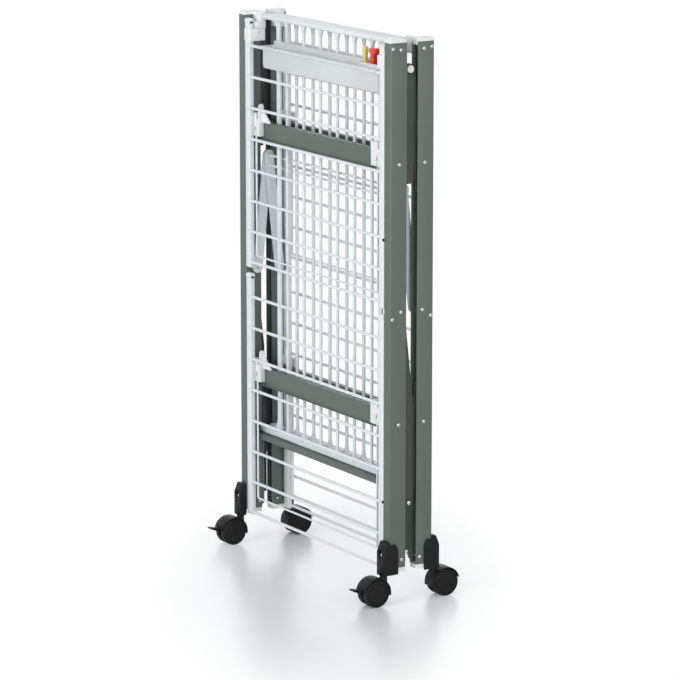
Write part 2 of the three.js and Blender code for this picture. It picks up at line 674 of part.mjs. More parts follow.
function hood(side, hasPedal) {
  const start = Math.PI * hoodRearShare;
  const end = Math.PI * hoodFrontShare;
  const middle = side * castorX;
  const coverInner = wheelRadius + hoodGap;
  const cover = extrude('x', ringSector(coverInner, hoodRadius, start, end, 12),
    middle - hoodWidth / 2, middle + hoodWidth / 2);
  const web = extrude('x', ringSector(0, coverInner + hoodSheet / 2, start, end, 12),
    middle - hoodWeb / 2, middle + hoodWeb / 2);
  const hub = rod('x', axleY, wheelRadius, axleRadius * 2.2, middle - hoodWeb / 2, middle + hoodWeb / 2, 12);
  const axleHole = rod('x', axleY, wheelRadius, axleRadius + pinGap,
    middle - hoodWeb, middle + hoodWeb, 12);
  const neckLow = wheelRadius + Math.sqrt(coverInner ** 2 - (swivelTrail - neckRadius) ** 2) / 2;
  const wheelSpace = rod('x', axleY, wheelRadius, coverInner,
    middle - hoodWidth, middle + hoodWidth, wheelSides);
  const neck = rod('z', middle, swivelY, neckRadius, neckLow, bracketFoot - 2 * seatGap, 12);
  const stem = rod('z', middle, swivelY, stemRadius,
    bracketFoot - 2 * seatGap - overrun, bracketFoot + stemLength, 8);
  const outside = hasPedal ? [neck, ...pedalEars(middle)] : [neck];
  const solids = [cover, web, hub, stem, ...outside.map((piece) => cut(piece, [wheelSpace]))];
  const holes = [axleHole];
  if (hasPedal) {
    holes.push(rod('x', pedalRootY, pedalRootZ(), pinRadius / 2 + pinGap,
      middle - hoodWidth, middle + hoodWidth, rivetSides));
  }
  return cut(join(solids), holes);
}

const pedalRootZ = () => wheelRadius + hoodRadius * Math.sin(Math.PI * hoodFrontShare) * 0.95;

// Two cheeks on the hood's front edge that hold the pedal's pin.
function pedalEars(middle) {
  const angle = Math.PI * hoodFrontShare;
  const reach = wheelRadius + hoodGap + hoodSheet / 2;
  const bandAngle = angle * 0.97;
  const [bandY, bandZ] = [axleY + reach * Math.cos(bandAngle), wheelRadius + reach * Math.sin(bandAngle)];
  const near = pedalRootRadius + pinGap;
  return [-1, 1].map((way) => extrude('x',
    capsule(pedalRootY, pedalRootZ(), bandY, bandZ, pedalRootRadius * 0.85, 4),
    middle + way * near, middle + way * (near + hoodSheet)));
}

function pedal(side) {
  const middle = side * castorX;
  const half = pedalRootRadius - pinGap / 2;
  const rootZ = pedalRootZ();
  const root = rod('x', pedalRootY, rootZ, pedalRootRadius, middle - half, middle + half, 12);
  const pivot = rod('x', pedalRootY, rootZ, pinRadius / 2,
    middle - half - hoodSheet - pinGap, middle + half + hoodSheet + pinGap, rivetSides);
  const bendY = pedalRootY - pedalLength * 0.4;
  const arm = extrude('x', polygon([
    [pedalRootY, rootZ + pedalThickness], [bendY, rootZ + pedalRise * 0.4 + pedalThickness],
    [pedalTipY, rootZ + pedalRise + pedalThickness / 2], [pedalTipY, rootZ + pedalRise - pedalThickness / 4],
    [bendY, rootZ - pedalThickness / 3], [pedalRootY, rootZ - pedalThickness]]),
  middle - pedalWidth / 2, middle + pedalWidth / 2);
  const plan = extrude('z', polygon([
    [middle - half, pedalRootY + overrun], [middle + half, pedalRootY + overrun], [middle + half, bendY],
    [middle + pedalWidth / 2, pedalTipY + pedalThickness], [middle + pedalWidth / 3, pedalTipY],
    [middle - pedalWidth / 3, pedalTipY], [middle - pedalWidth / 2, pedalTipY + pedalThickness],
    [middle - half, bendY]]), rootZ - pedalLength, rootZ + pedalLength);
  return join([root, pivot, arm.intersect(plan)]);
}

function wheelPair(side) {
  const near = wheelGap / 2;
  const far = near + wheelWidth;
  const dish = wheelWidth * 0.07;
  const profile = [
    [0, near], [wheelRadius * 0.88, near], [wheelRadius, near + wheelWidth * 0.14],
    [wheelRadius, far - wheelWidth * 0.14], [wheelRadius * 0.9, far],
    [wheelRadius * 0.8, far - dish], [0, far - dish]];
  const wheels = [-1, 1].map((way) => revolve(
    profile, way, side * castorX, axleY, wheelRadius, wheelSides));
  const axle = rod('x', axleY, wheelRadius, axleRadius, side * castorX - near - overrun,
    side * castorX + near + overrun, 10);
  return join([...wheels, axle]);
}

// Places of the link bars across the width
const frontLane = innerX - 3 * seatGap - ledgeSheet - linkSideGap - linkSheet;
const backLane = frontLane - linkSideGap - linkSheet;
const channelMiddle = outerX - postWidth / 2;
const channelFrontLane = channelMiddle - linkSideGap / 2 - linkSheet;
const channelBackLane = channelMiddle + linkSideGap / 2;
const channelPinEnd = channelBackLane + linkSheet + linkSideGap;

function buildFrame(label) {
  const group = new THREE.Group();
  const isFront = label === 'front';
  const lane = isFront ? frontLane : backLane;
  for (const side of [-1, 1]) {
    const hand = (isFront ? side : -side) > 0 ? 'right' : 'left';
    const name = (piece) => `${label}_${hand}_${piece}`;
    add(group, name('upright'), post(side, lane - linkSideGap / 2), materials.paint);
    add(group, name('top_cap'), cap(side), materials.plastic);
    add(group, name('upper_catch'), catchPiece(side, topZ - barDrops[0]), materials.plastic);
    add(group, name('lower_catch'), catchPiece(side, topZ - barDrops[1]), materials.plastic);
    ['upper', 'lower'].forEach((level, i) => add(group, name(`${level}_link`), channelLink(
      side, isFront, i, isFront ? channelFrontLane : channelBackLane, channelPinEnd), materials.paint));
    add(group, name('castor_bracket'), bracket(side), materials.black);
    add(group, name('castor_hood'), hood(side, isFront), materials.black);
    add(group, name('castor_wheels'), wheelPair(side), materials.black);
    if (isFront) add(group, name('brake_pedal'), pedal(side), materials.black);
  }
  add(group, `${label}_upper_crossbar`, crossbar(topZ - barDrops[0]), materials.paint);
  add(group, `${label}_lower_crossbar`, crossbar(topZ - barDrops[1]), materials.paint);
  add(group, `${label}_grille`, grille(), materials.wire);
  add(group, `${label}_ledge_frame`, ledge(), materials.paint);
  add(group, `${label}_links`, tiedLinks(isFront, lane), materials.wire);
  ['upper', 'lower'].forEach((level, i) => {
    add(group, `${label}_${level}_wing`, wing(i, isFront && i === 0), materials.wire);
    add(group, `${label}_${level}_prop`, prop(topZ - barDrops[i]), materials.wire);
  });
  return group;
}

const trolley = new THREE.Group();
const frontFrame = buildFrame('front');
const backFrame = buildFrame('back');
backFrame.rotation.z = Math.PI;
add(frontFrame, 'peg_tray', tray(), materials.frost);
add(frontFrame, 'yellow_peg', peg(pegSteps[0], false), materials.yellow);
add(frontFrame, 'red_peg', peg(pegSteps[1], true), materials.red);
trolley.add(frontFrame, backFrame);
trolley.position.y = footprintShift;

export default trolley;
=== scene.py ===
import bpy
import bmesh
import json
import math
from mathutils import Matrix, Vector

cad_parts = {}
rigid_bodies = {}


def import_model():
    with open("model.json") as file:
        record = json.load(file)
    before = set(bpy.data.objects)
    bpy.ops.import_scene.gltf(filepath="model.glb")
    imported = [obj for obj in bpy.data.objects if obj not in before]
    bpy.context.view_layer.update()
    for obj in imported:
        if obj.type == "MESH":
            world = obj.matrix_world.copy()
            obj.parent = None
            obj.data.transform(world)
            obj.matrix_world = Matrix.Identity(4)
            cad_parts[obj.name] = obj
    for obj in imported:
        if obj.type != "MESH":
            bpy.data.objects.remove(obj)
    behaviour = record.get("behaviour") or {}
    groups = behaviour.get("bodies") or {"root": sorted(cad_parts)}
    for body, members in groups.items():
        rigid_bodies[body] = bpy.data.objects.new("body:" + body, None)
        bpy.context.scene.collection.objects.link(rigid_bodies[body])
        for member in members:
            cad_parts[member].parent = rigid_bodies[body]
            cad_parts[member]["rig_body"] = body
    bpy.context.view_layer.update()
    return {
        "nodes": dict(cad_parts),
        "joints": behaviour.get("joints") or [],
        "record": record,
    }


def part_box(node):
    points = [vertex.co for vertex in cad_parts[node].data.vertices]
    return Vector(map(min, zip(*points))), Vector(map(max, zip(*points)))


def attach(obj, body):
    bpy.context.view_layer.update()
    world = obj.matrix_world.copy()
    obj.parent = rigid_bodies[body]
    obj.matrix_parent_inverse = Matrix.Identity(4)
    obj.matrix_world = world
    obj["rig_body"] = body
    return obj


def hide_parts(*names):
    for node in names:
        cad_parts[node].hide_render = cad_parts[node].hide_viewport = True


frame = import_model()
nodes = frame["nodes"]
mm = 0.001
overrun = 1 * mm  # how far a cutter or a joined end runs past a face
sharpAngle = math.radians(38)  # edges sharper than this stay crisp
flatAngle = math.radians(1.5)  # faces flatter than this are joined before a bevel
weldGaps = {"bar": 1e-6, "solid": 2e-6, "tree": 1e-7}

# uprights: a channel of bent sheet, open towards the other frame
upright = {"wide": 21 * mm, "headProud": 1.6 * mm, "wall": 1.8 * mm, "corner": 2.4 * mm, "cornerSteps": 6,
           "edge": 0.25 * mm, "plugDepth": 8 * mm, "plugGap": 0.2 * mm, "plugEdge": 0.8 * mm}

# places read from the frame, where an upright's box takes in its rivet heads
midY = (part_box("front_grille")[0].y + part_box("back_grille")[1].y) / 2
postLow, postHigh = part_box("front_right_upright")
faceY, innerY, footZ, topZ = postLow.y, postHigh.y, postLow.z, postHigh.z
outerX = postHigh.x - upright["headProud"]
innerX = outerX - upright["wide"]
jointPlaces = {joint["name"]: Vector(joint["pos_m"]) for joint in frame["joints"]}
sides = {"left": -1, "right": 1}
halves = ("front", "back")
levels = ("upper", "lower")


# small tools

def addObject(name, data):
    piece = bpy.data.objects.new(name, data)
    bpy.context.scene.collection.objects.link(piece)
    return piece


def meshFrom(name, parts):
    bm = bmesh.new()
    for part in parts:
        mesh = bpy.data.meshes.new("part")
        part.to_mesh(mesh)
        part.free()
        bm.from_mesh(mesh)
        bpy.data.meshes.remove(mesh)
    mesh = bpy.data.meshes.new(name)
    bm.to_mesh(mesh)
    bm.free()
    return mesh


def boxMiddle(nodeName):
    low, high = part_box(nodeName)
    return (low + high) / 2


def placeOf(axis, u, v, w):
    return {"x": (w, u, v), "y": (u, w, v), "z": (u, v, w)}[axis]


def bevelSharp(bm, width, segments=2, angle=35):
    if width <= 0:
        return
    sharp = [edge for edge in bm.edges
             if len(edge.link_faces) == 2 and edge.calc_face_angle(0) > math.radians(angle)]
    bmesh.ops.bevel(bm, geom=sharp, offset=width, segments=segments, profile=0.5,
                    affect="EDGES", clamp_overlap=True, miter_outer="ARC")


def extrudeOutline(axis, outline, low, high, bevel=0.0):
    bm = bmesh.new()
    low, high = min(low, high), max(low, high)
    ring = [bm.verts.new(placeOf(axis, u, v, low)) for u, v in outline]
    face = bm.faces.new(ring)
    grown = bmesh.ops.extrude_face_region(bm, geom=[face])
    lifted = [item for item in grown["geom"] if isinstance(item, bmesh.types.BMVert)]
    bmesh.ops.translate(bm, vec=Vector(placeOf(axis, 0, 0, high - low)), verts=lifted)
    bmesh.ops.recalc_face_normals(bm, faces=bm.faces)
    bevelSharp(bm, bevel)
    return bm


def cutOut(bm, cutters):
    block = addObject("block", meshFrom("block", [bm]))
    tools = [addObject("cutter", meshFrom("cutter", [cutter])) for cutter in cutters]
    for tool in tools:
        modifier = block.modifiers.new("cut", "BOOLEAN")
        modifier.operation = "DIFFERENCE"
        modifier.solver = "EXACT"
        modifier.object = tool
    mesh = bpy.data.meshes.new_from_object(block.evaluated_get(bpy.context.evaluated_depsgraph_get()))
    for piece in (block, *tools):
        bpy.data.objects.remove(piece)
    result = bmesh.new()
    result.from_mesh(mesh)
    bpy.data.meshes.remove(mesh)
    return result


def rectangleOutline(u0, v0, u1, v1):
    return [(u0, v0), (u1, v0), (u1, v1), (u0, v1)]


def roundedOutline(u0, v0, u1, v1, radius, steps=5):
    u0, u1, v0, v1 = min(u0, u1), max(u0, u1), min(v0, v1), max(v0, v1)
    points = []
    for cu, cv, start in ((u1 - radius, v0 + radius, -90), (u1 - radius, v1 - radius, 0),
                          (u0 + radius, v1 - radius, 90), (u0 + radius, v0 + radius, 180)):
        for i in range(steps + 1):
            a = math.radians(start + 90 * i / steps)
            points.append((cu + radius * math.cos(a), cv + radius * math.sin(a)))
    return points


def revolveProfile(profile, centre, steps, axis="x", way=1):
    bm = bmesh.new()
    turns = [math.tau * i / steps for i in range(steps)]
    rings = []
    for radius, height in profile:
        places = [(0, 0)]
        if radius:
            places = [(radius * math.cos(a), radius * math.sin(a)) for a in turns]
        rings.append([bm.verts.new(placeOf(axis, u, v, height * way)) for u, v in places])
    for a, b in zip(rings, rings[1:]):
        for i in range(steps):
            j = (i + 1) % steps
            corners = [a[i % len(a)], a[j % len(a)], b[j % len(b)], b[i % len(b)]]
            kept = list(dict.fromkeys(corners))
            if len(kept) > 2:
                bm.faces.new(kept)
    bmesh.ops.recalc_face_normals(bm, faces=bm.faces)
    bmesh.ops.translate(bm, vec=Vector(centre), verts=bm.verts)
    return bm


def turnedPin(radius, start, end, centre, steps, way=1):
    return revolveProfile([(0, start), (radius, start), (radius, end), (0, end)], centre, steps, "x", way)


def discProfile(radius, thick, edge):
    return [(0, 0), (radius - edge, 0), (radius, edge), (radius, thick - edge),
            (radius - edge, thick), (0, thick)]


def sweepBar(path, radius, resolution=2):
    curve = bpy.data.curves.new("bar", "CURVE")
    curve.dimensions = "3D"
    curve.bevel_depth = radius
    curve.bevel_resolution = resolution
    curve.use_fill_caps = True
    spline = curve.splines.new("POLY")
    spline.points.add(len(path) - 1)
    for point, place in zip(spline.points, path):
        point.co = (*place, 1)
    holder = addObject("bar", curve)
    mesh = bpy.data.meshes.new_from_object(holder)
    bpy.data.objects.remove(holder)
    bm = bmesh.new()
    bm.from_mesh(mesh)
    bpy.data.meshes.remove(mesh)
    bmesh.ops.remove_doubles(bm, verts=bm.verts, dist=weldGaps["bar"])
    bmesh.ops.recalc_face_normals(bm, faces=bm.faces)
    return bm


def filletPath(corners, radius, steps=6):
    path = [Vector(corners[0])]
    for before, here, after in zip(corners, corners[1:], corners[2:]):
        before, here, after = Vector(before), Vector(here), Vector(after)
        a, b = (before - here).normalized(), (after - here).normalized()
        half = a.angle(b) / 2
        reach = radius / math.tan(half)
        centre = here + (a + b).normalized() * radius / math.sin(half)
        start, end = here + a * reach - centre, here + b * reach - centre
        turn, hinge = start.angle(end), start.cross(end).normalized()
        for i in range(steps + 1):
            path.append(centre + Matrix.Rotation(turn * i / steps, 3, hinge) @ start)
    path.append(Vector(corners[-1]))
    return path


def turnBack(bm):  # a back piece is its front one turned by half a turn
    turn = (Matrix.Translation((0, midY, 0)) @ Matrix.Rotation(math.pi, 4, "Z")
            @ Matrix.Translation((0, -midY, 0)))
    bmesh.ops.transform(bm, matrix=turn, verts=bm.verts)
    return bm


def finishPiece(name, parts, material, body, replaced=(), half="front"):
    if half == "back":
        parts = [turnBack(part) for part in parts]
    piece = addObject(name, meshFrom(name, parts))
    piece.data.materials.append(material)
    for face in piece.data.polygons:
        face.use_smooth = True
    piece.data.set_sharp_from_angle(angle=sharpAngle)
    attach(piece, body)
    if replaced:
        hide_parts(*replaced)
    return piece


def bevelledCopy(nodeName, width, material, otherHand=False):
    source = nodes[nodeName]
    bm = bmesh.new()
    bm.from_mesh(source.data)
    bmesh.ops.remove_doubles(bm, verts=bm.verts, dist=weldGaps["solid"])
    bmesh.ops.dissolve_limit(bm, angle_limit=flatAngle, verts=bm.verts, edges=bm.edges)
    if otherHand:  # mirrored inside its own box
        middle = boxMiddle(nodeName).x
        for vert in bm.verts:
            vert.co.x = 2 * middle - vert.co.x
        bmesh.ops.reverse_faces(bm, faces=bm.faces)
    bevelSharp(bm, width)
    low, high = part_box(nodeName)  # a bevel may throw a corner out of the box
    for vert in bm.verts:
        vert.co = Vector([min(max(vert.co[i], low[i]), high[i]) for i in range(3)])
    return finishPiece(nodeName + "_form", [bm], material, source["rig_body"], [nodeName])


# materials

# patches and sheen are the noise scales of the colour and of the roughness
surface = {"patches": 9, "patchEdges": (0.3, 0.7), "sheen": 35, "grainDeep": 0.2 * mm, "grainDetail": 2.0}


def startMaterial(name, colour, roughness):
    material = bpy.data.materials.new(name)
    material.use_nodes = True
    tree = material.node_tree
    shader = tree.nodes["Principled BSDF"]
    shader.inputs["Base Color"].default_value = (*colour, 1)
    shader.inputs["Roughness"].default_value = roughness
    return material, tree, shader


def noiseNode(tree, scale, detail=3.0):
    place = tree.nodes.new("ShaderNodeTexCoord")
    noise = tree.nodes.new("ShaderNodeTexNoise")
    noise.inputs["Scale"].default_value = scale
    noise.inputs["Detail"].default_value = detail
    tree.links.new(place.outputs["Object"], noise.inputs["Vector"])
    return noise


def varyColour(tree, shader, colour, spread):
    noise = noiseNode(tree, surface["patches"])
    ramp = tree.nodes.new("ShaderNodeValToRGB")
    ends = ramp.color_ramp.elements
    for end, position, share in zip(ends, surface["patchEdges"], (1 - spread, 1 + spread)):
        end.position = position
        end.color = (*[min(1, c * share) for c in colour], 1)
    tree.links.new(noise.outputs["Fac"], ramp.inputs["Fac"])
    tree.links.new(ramp.outputs["Color"], shader.inputs["Base Color"])


def varyRoughness(tree, shader, low, high):
    noise = noiseNode(tree, surface["sheen"])
    spread = tree.nodes.new("ShaderNodeMapRange")
    spread.inputs["To Min"].default_value = low
    spread.inputs["To Max"].default_value = high
    tree.links.new(noise.outputs["Fac"], spread.inputs["Value"])
    tree.links.new(spread.outputs["Result"], shader.inputs["Roughness"])


def addGrain(tree, shader, scale, strength):
    noise = noiseNode(tree, scale, surface["grainDetail"])
    bump = tree.nodes.new("ShaderNodeBump")
    bump.inputs["Strength"].default_value = strength
    bump.inputs["Distance"].default_value = surface["grainDeep"]
    tree.links.new(noise.outputs["Fac"], bump.inputs["Height"])
    tree.links.new(bump.outputs["Normal"], shader.inputs["Normal"])


# colour, roughness from and to, scale and strength of the grain, spread of the colour, other shader inputs
finishes = {
    "grey green paint": {
        "colour": (0.105, 0.127, 0.112), "rough": (0.42, 0.52), "grain": (900, 0.12), "spread": 0.04},
    "white wire coating": {
        "colour": (0.71, 0.742, 0.758), "rough": (0.42, 0.52), "grain": (700, 0.08), "spread": 0.02,
        "inputs": {"Specular IOR Level": 0.2}},
    "white moulded plastic": {
        "colour": (0.775, 0.785, 0.775), "rough": (0.46, 0.56), "grain": (1400, 0.08), "spread": 0.015,
        "inputs": {"Specular IOR Level": 0.2}},
    # the links wear the uprights' grey-green paint; this darker copy of it is painted shade, for the links
    # and strips that sit in the shaded gap between the uprights
    "link paint darkened for shade": {
        "colour": (0.060, 0.068, 0.064), "rough": (0.45, 0.55), "grain": (900, 0.12), "spread": 0.05,
        "inputs": {"Specular IOR Level": 0.2}},
    "black castor plastic": {
        "colour": (0.0075, 0.0075, 0.008), "rough": (0.42, 0.52), "grain": (1600, 0.2), "spread": 0.1,
        "inputs": {"Specular IOR Level": 0.2}},
    "black stop rubber": {
        "colour": (0.012, 0.012, 0.013), "rough": (0.6, 0.75), "grain": (1200, 0.25), "spread": 0.1,
        "inputs": {"Specular IOR Level": 0.2}},
    "zinc screw": {
        "colour": (0.80, 0.81, 0.80), "rough": (0.3, 0.42), "grain": (600, 0.1), "spread": 0.04,
        "inputs": {"Metallic": 0.5}},
    "bright rivet": {
        "colour": (0.56, 0.57, 0.56), "rough": (0.22, 0.34), "grain": (600, 0.1), "spread": 0.05,
        "inputs": {"Metallic": 1.0}},
    "yellow peg plastic": {
        "colour": (0.80, 0.58, 0.13), "rough": (0.25, 0.35), "grain": (900, 0.05), "spread": 0.05,
        "inputs": {"Coat Weight": 0.4}},
    "red peg plastic": {
        "colour": (0.78, 0.035, 0.025), "rough": (0.22, 0.32), "grain": (900, 0.05), "spread": 0.05,
        "inputs": {"Coat Weight": 0.4}},
    "frosted tray plastic": {
        "colour": (0.84, 0.865, 0.875), "rough": (0.45, 0.6), "grain": (500, 0.15), "spread": 0.02,
        "inputs": {"Transmission Weight": 0.45, "IOR": 1.3}},
}


def finishMaterial(name):
    finish = finishes[name]
    material, tree, shader = startMaterial(name, finish["colour"], finish["rough"][0])
    varyColour(tree, shader, finish["colour"], finish["spread"])
    varyRoughness(tree, shader, *finish["rough"])
    addGrain(tree, shader, *finish["grain"])
    for socket, value in finish.get("inputs", {}).items():
        shader.inputs[socket].default_value = value
    return material


greyGreenPaint = finishMaterial("grey green paint")
whiteCoat = finishMaterial("white wire coating")
whitePlastic = finishMaterial("white moulded plastic")
# painted shade: the uprights' paint made darker for the pieces deep in the gap
shadedLinkPaint = finishMaterial("link paint darkened for shade")
blackPlastic = finishMaterial("black castor plastic")
stopRubber = finishMaterial("black stop rubber")
zincMetal = finishMaterial("zinc screw")
brightRivet = finishMaterial("bright rivet")
yellowPlastic = finishMaterial("yellow peg plastic")
redPlastic = finishMaterial("red peg plastic")
frostedPlastic = finishMaterial("frosted tray plastic")
slotMaterials = {
    "dark_paint": greyGreenPaint, "white_wire": whiteCoat, "white_plastic": whitePlastic,
    "frosted_plastic": frostedPlastic, "black_plastic": blackPlastic,
    "yellow_plastic": yellowPlastic, "red_plastic": redPlastic}
for entry in frame["record"]["subparts"]:
    node = nodes[entry["node"]]
    node.data.materials.clear()
    node.data.materials.append(slotMaterials[entry["material_slot"]])
print("materials ready")


# repeats with geometry nodes

barSides = 16


def newTree(name, inputs):
    tree = bpy.data.node_groups.new(name, "GeometryNodeTree")
    tree.interface.new_socket("Geometry", in_out="INPUT", socket_type="NodeSocketGeometry")
    ids = {}
    for label, kind in inputs:
        ids[label] = tree.interface.new_socket(label, in_out="INPUT", socket_type=kind).identifier
    tree.interface.new_socket("Geometry", in_out="OUTPUT", socket_type="NodeSocketGeometry")
    return tree, tree.nodes.new("NodeGroupInput"), tree.nodes.new("NodeGroupOutput"), ids


def barRowTree():
    tree, source, sink, ids = newTree("bar row", [
        ("Count", "NodeSocketInt"), ("First", "NodeSocketVector"), ("Step", "NodeSocketVector"),
        ("Along", "NodeSocketVector"), ("Radius", "NodeSocketFloat"), ("Finish", "NodeSocketMaterial")])
    row = tree.nodes.new("GeometryNodeMeshLine")
    row.mode = "OFFSET"
    line = tree.nodes.new("GeometryNodeCurvePrimitiveLine")
    ring = tree.nodes.new("GeometryNodeCurvePrimitiveCircle")
    ring.inputs["Resolution"].default_value = barSides
    bar = tree.nodes.new("GeometryNodeCurveToMesh")
    bar.inputs["Fill Caps"].default_value = True
    spread = tree.nodes.new("GeometryNodeInstanceOnPoints")
    real = tree.nodes.new("GeometryNodeRealizeInstances")
    paint = tree.nodes.new("GeometryNodeSetMaterial")
    link = tree.links.new
    link(source.outputs["Count"], row.inputs["Count"])
    link(source.outputs["First"], row.inputs["Start Location"])
    link(source.outputs["Step"], row.inputs["Offset"])
    link(source.outputs["Along"], line.inputs["End"])
    link(source.outputs["Radius"], ring.inputs["Radius"])
    link(line.outputs["Curve"], bar.inputs["Curve"])
    link(ring.outputs["Curve"], bar.inputs["Profile Curve"])
    link(row.outputs["Mesh"], spread.inputs["Points"])
    link(bar.outputs["Mesh"], spread.inputs["Instance"])
    link(spread.outputs["Instances"], real.inputs["Geometry"])
    link(real.outputs["Geometry"], paint.inputs["Geometry"])
    link(source.outputs["Finish"], paint.inputs["Material"])
    link(paint.outputs["Geometry"], sink.inputs["Geometry"])
    return tree, ids


def spotRowTree():
    tree, source, sink, ids = newTree("heads on spots", [
        ("Head", "NodeSocketObject"), ("Finish", "NodeSocketMaterial")])
    head = tree.nodes.new("GeometryNodeObjectInfo")
    spread = tree.nodes.new("GeometryNodeInstanceOnPoints")
    real = tree.nodes.new("GeometryNodeRealizeInstances")
    paint = tree.nodes.new("GeometryNodeSetMaterial")
    link = tree.links.new
    link(source.outputs["Head"], head.inputs["Object"])
    link(source.outputs["Geometry"], spread.inputs["Points"])
    link(head.outputs["Geometry"], spread.inputs["Instance"])
    link(spread.outputs["Instances"], real.inputs["Geometry"])
    link(real.outputs["Geometry"], paint.inputs["Geometry"])
    link(source.outputs["Finish"], paint.inputs["Material"])
    link(paint.outputs["Geometry"], sink.inputs["Geometry"])
    return tree, ids


barRow, barRowIds = barRowTree()
spotRow, spotRowIds = spotRowTree()


def runTree(tree, values, points=()):
    mesh = bpy.data.meshes.new("seed")
    mesh.from_pydata([tuple(p) for p in points], [], [])
    holder = addObject("seed", mesh)
    modifier = holder.modifiers.new("tree", "NODES")
    modifier.node_group = tree
    for socket, value in values.items():
        modifier[socket] = value
    holder.data.update()
    result = bpy.data.meshes.new_from_object(
        holder.evaluated_get(bpy.context.evaluated_depsgraph_get()))
    holder.modifiers.remove(modifier)
    bpy.data.objects.remove(holder)
    bm = bmesh.new()
    bm.from_mesh(result)
    bpy.data.meshes.remove(result)
    bmesh.ops.remove_doubles(bm, verts=bm.verts, dist=weldGaps["tree"])
    bmesh.ops.recalc_face_normals(bm, faces=bm.faces)
    return bm


def rowOfBars(count, first, step, along, radius):
    return runTree(barRow, {
        barRowIds["Count"]: count, barRowIds["First"]: first, barRowIds["Step"]: step,
        barRowIds["Along"]: along, barRowIds["Radius"]: radius, barRowIds["Finish"]: whiteCoat})


# uprights and their foot plugs

def channelOutline(side):
    wall, corner, steps = upright["wall"], upright["corner"], upright["cornerSteps"]
    left, right = sorted((side * innerX, side * outerX))
    outline = [(right, innerY), (right - wall, innerY), (right - wall, faceY + wall),
               (left + wall, faceY + wall), (left + wall, innerY), (left, innerY)]
    for cx, start in ((left + corner, 180), (right - corner, 270)):
        for i in range(steps + 1):
            a = math.radians(start + 90 * i / steps)
            outline.append((cx + corner * math.cos(a), faceY + corner + corner * math.sin(a)))
    return outline


for half in halves:
    for hand, side in sides.items():
        turned = side if half == "front" else -side
        nodeName = f"{half}_{hand}_upright"
        channel = extrudeOutline("z", channelOutline(turned), footZ, topZ, upright["edge"])
        finishPiece(nodeName + "_channel", [channel], greyGreenPaint, f"{half}_frame",
                    [nodeName], half)
        plugOutline = roundedOutline(turned * innerX, faceY, turned * outerX, innerY, upright["corner"])
        plug = extrudeOutline("z", plugOutline, footZ - upright["plugDepth"], footZ - upright["plugGap"],
                              upright["plugEdge"])
        finishPiece(f"{half}_{hand}_foot_plug", [plug], whitePlastic, f"{half}_frame",
                    (), half)
print("uprights ready")


# rivets and pins, at the joints of the frame

# barLip is the crossbar's lip in front of its face. stileReach and ledgeReach are how far a pin goes past
# the upright's inner side, and linkInset is how far inside the links' outer side it ends
rivet = {"radius": 3.5 * mm, "height": 1.4 * mm, "sunk": 0.6 * mm, "rim": 0.3 * mm, "shoulder": 1 * mm,
         "dish": 0.9 * mm, "shoulderShare": 0.86, "crownShare": 0.55, "lipShare": 0.36, "dishShare": 0.3,
         "sides": 24, "shank": 2.5 * mm, "shankSides": 16, "barLip": 5 * mm, "stileReach": 16.4 * mm,
         "ledgeReach": 4 * mm, "linkInset": {"front": 3.5 * mm, "back": 6 * mm}}
headRadius = rivet["radius"]
headProfile = [
    (0, -rivet["sunk"]), (headRadius, -rivet["sunk"]), (headRadius, rivet["rim"]),
    (headRadius * rivet["shoulderShare"], rivet["shoulder"]),
    (headRadius * rivet["crownShare"], rivet["height"]), (headRadius * rivet["lipShare"], rivet["height"]),
    (headRadius * rivet["dishShare"], rivet["dish"]), (0, rivet["dish"])]
pinNames = ("front_upper_wing_hinge", "front_lower_wing_hinge", "fold", "front_ledge_joint")
barFace = {level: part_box(f"front_{level}_crossbar")[0].y + rivet["barLip"] for level in levels}
headSpots = [(jointPlaces[name].y, jointPlaces[name].z) for name in pinNames]
headSpots.append((barFace["upper"], jointPlaces["front_upper_wing_hinge"].z - rivet["shank"]))
headSpots += [(barFace[level] - rivet["shank"], boxMiddle(f"front_{level}_crossbar").z) for level in levels]


def makeHead(way):
    form = revolveProfile(headProfile, (0, 0, 0), rivet["sides"], "x", way)
    return addObject("head", meshFrom("head", [form]))


def pinEnd(name, half):
    if name == "fold":
        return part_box(f"{half}_links")[1].x - rivet["linkInset"][half]
    if name == "front_ledge_joint":
        return innerX - rivet["ledgeReach"]
    return innerX - rivet["stileReach"]


for half in halves:
    parts = []
    for side in sides.values():
        head = makeHead(side)
        points = [(side * outerX, y, z) for y, z in headSpots]
        values = {spotRowIds["Head"]: head, spotRowIds["Finish"]: brightRivet}
        parts.append(runTree(spotRow, values, points))
        bpy.data.objects.remove(head)
        for name in pinNames:
            place, end = jointPlaces[name], pinEnd(name, half)
            parts.append(turnedPin(rivet["shank"], 0, outerX - end, (side * end, place.y, place.z),
                                   rivet["shankSides"], side))
    finishPiece(f"{half}_rivets", parts, brightRivet, f"{half}_frame", (), half)
print("rivets ready")


# wings

# first and last are the wires' distances from the hinge and from the stile's foot, and longer is how much
# a wing is longer than its solid
wing = {
    "upper": {"first": 45 * mm, "last": 12.2 * mm, "longer": 0},
    "lower": {"first": 38.8 * mm, "last": 6.3 * mm, "longer": 15 * mm},
    "wires": 8, "wireRadius": 2.8 * mm, "wireSunk": 1 * mm, "stile": 16 * mm, "thick": 9 * mm,
    "inset": 1 * mm, "corner": 4 * mm, "cornerSteps": 6, "edge": 0.7 * mm, "knuckle": 5.6 * mm,
    "knuckleSides": 28}


